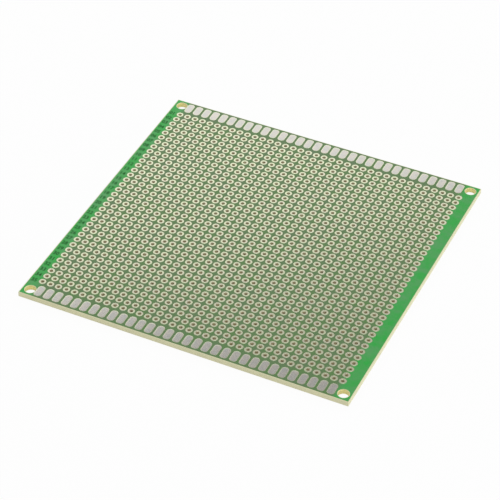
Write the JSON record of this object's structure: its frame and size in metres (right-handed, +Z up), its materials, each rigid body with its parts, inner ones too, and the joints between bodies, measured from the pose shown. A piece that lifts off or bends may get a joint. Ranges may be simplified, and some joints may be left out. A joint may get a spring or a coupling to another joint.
{
  "type": "prototype circuit board",
  "caption": "Square single-sided prototype board with a grid of tinned lead holes, a row of edge pads on two sides and a screw hole in each corner.",
  "frame": {"origin": "middle of the board's underside", "axes": "+Z up out of the tinned face, +X along the rows of edge pads, +Y away from the viewer"},
  "size_m": [0.1, 0.1, 0.0016],
  "materials": {
    "masked_laminate": "green solder mask on pale glass-epoxy laminate",
    "tinned_copper": "satin tin"
  },
  "bodies": {
    "root": {"laminate": "masked_laminate", "far_edge_pads": "tinned_copper", "near_edge_pads": "tinned_copper"}
  },
  "joints": []
}
